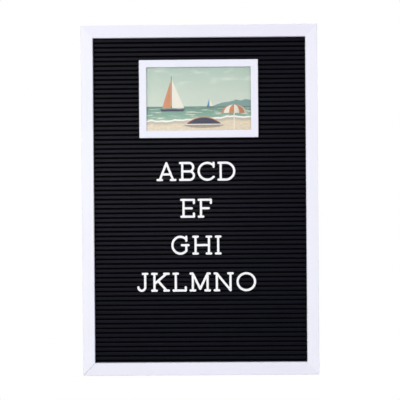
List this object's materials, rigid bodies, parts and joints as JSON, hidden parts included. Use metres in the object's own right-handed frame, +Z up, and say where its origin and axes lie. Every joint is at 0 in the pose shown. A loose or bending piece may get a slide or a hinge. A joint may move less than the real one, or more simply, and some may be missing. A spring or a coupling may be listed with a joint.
{
  "type": "letter board",
  "caption": "Upright wall letter board: white mitred frame round a black grooved panel that takes push-in white letters and a small clip-on photo frame; hangs from a saw-tooth hanger.",
  "frame": {"origin": "where the wall nail bears, in the middle notch of the saw-tooth hanger, on the plane of the frame's back", "axes": "+X to the right as seen from the front, +Y from the front of the board to its back and the wall, +Z up"},
  "size_m": [0.3, 0.0225, 0.4449],
  "materials": {
    "white_lacquer": "white satin lacquer on wood moulding",
    "black_plastic": "satin black",
    "white_plastic": "smooth moulded white",
    "clear_sheet": "clear acrylic",
    "photo_paper": "glossy print",
    "hardboard": "bare hardboard",
    "steel": "zinc plated"
  },
  "bodies": {
    "board": {"frame_rail_bottom": "white_lacquer", "frame_rail_left": "white_lacquer", "frame_rail_top": "white_lacquer", "frame_rail_right": "white_lacquer", "corner_v_nail_bottom": "steel", "corner_v_nail_left": "steel", "corner_v_nail_top": "steel", "corner_v_nail_right": "steel", "retainer_point_bottom_1": "steel", "retainer_point_bottom_2": "steel", "retainer_point_left_1": "steel", "retainer_point_left_2": "steel", "retainer_point_left_3": "steel", "retainer_point_top_1": "steel", "retainer_point_top_2": "steel", "retainer_point_right_1": "steel", "retainer_point_right_2": "steel", "retainer_point_right_3": "steel", "grooved_panel": "black_plastic", "backing_board": "hardboard", "saw_tooth_hanger": "steel", "hanger_nail_left": "steel", "hanger_nail_right": "steel"},
    "photo_frame": {"photo_bezel": "white_plastic", "photo_window": "clear_sheet", "photo_back": "white_plastic"},
    "print": {"photo_print": "photo_paper"},
    "A": {"letter_A": "white_plastic"},
    "B": {"letter_B": "white_plastic"},
    "C": {"letter_C": "white_plastic"},
    "D": {"letter_D": "white_plastic"},
    "E": {"letter_E": "white_plastic"},
    "F": {"letter_F": "white_plastic"},
    "G": {"letter_G": "white_plastic"},
    "H": {"letter_H": "white_plastic"},
    "I": {"letter_I": "white_plastic"},
    "J": {"letter_J": "white_plastic"},
    "K": {"letter_K": "white_plastic"},
    "L": {"letter_L": "white_plastic"},
    "M": {"letter_M": "white_plastic"},
    "N": {"letter_N": "white_plastic"},
    "O": {"letter_O": "white_plastic"}
  },
  "joints": [
    {"name": "photo_frame_pull_off", "type": "slide", "parent": "board", "child": "photo_frame", "axis": [0, -1, 0], "range_m": [0, 0.04]},
    {"name": "print_slide_up", "type": "slide", "parent": "photo_frame", "child": "print", "axis": [0, 0, 1], "range_m": [0, 0.028]},
    {"name": "A_pull_off", "type": "slide", "parent": "board", "child": "A", "axis": [0, -1, 0], "range_m": [0, 0.03]},
    {"name": "B_pull_off", "type": "slide", "parent": "board", "child": "B", "axis": [0, -1, 0], "range_m": [0, 0.03]},
    {"name": "C_pull_off", "type": "slide", "parent": "board", "child": "C", "axis": [0, -1, 0], "range_m": [0, 0.03]},
    {"name": "D_pull_off", "type": "slide", "parent": "board", "child": "D", "axis": [0, -1, 0], "range_m": [0, 0.03]},
    {"name": "E_pull_off", "type": "slide", "parent": "board", "child": "E", "axis": [0, -1, 0], "range_m": [0, 0.03]},
    {"name": "F_pull_off", "type": "slide", "parent": "board", "child": "F", "axis": [0, -1, 0], "range_m": [0, 0.03]},
    {"name": "G_pull_off", "type": "slide", "parent": "board", "child": "G", "axis": [0, -1, 0], "range_m": [0, 0.03]},
    {"name": "H_pull_off", "type": "slide", "parent": "board", "child": "H", "axis": [0, -1, 0], "range_m": [0, 0.03]},
    {"name": "I_pull_off", "type": "slide", "parent": "board", "child": "I", "axis": [0, -1, 0], "range_m": [0, 0.03]},
    {"name": "J_pull_off", "type": "slide", "parent": "board", "child": "J", "axis": [0, -1, 0], "range_m": [0, 0.03]},
    {"name": "K_pull_off", "type": "slide", "parent": "board", "child": "K", "axis": [0, -1, 0], "range_m": [0, 0.03]},
    {"name": "L_pull_off", "type": "slide", "parent": "board", "child": "L", "axis": [0, -1, 0], "range_m": [0, 0.03]},
    {"name": "M_pull_off", "type": "slide", "parent": "board", "child": "M", "axis": [0, -1, 0], "range_m": [0, 0.03]},
    {"name": "N_pull_off", "type": "slide", "parent": "board", "child": "N", "axis": [0, -1, 0], "range_m": [0, 0.03]},
    {"name": "O_pull_off", "type": "slide", "parent": "board", "child": "O", "axis": [0, -1, 0], "range_m": [0, 0.03]}
  ]
}
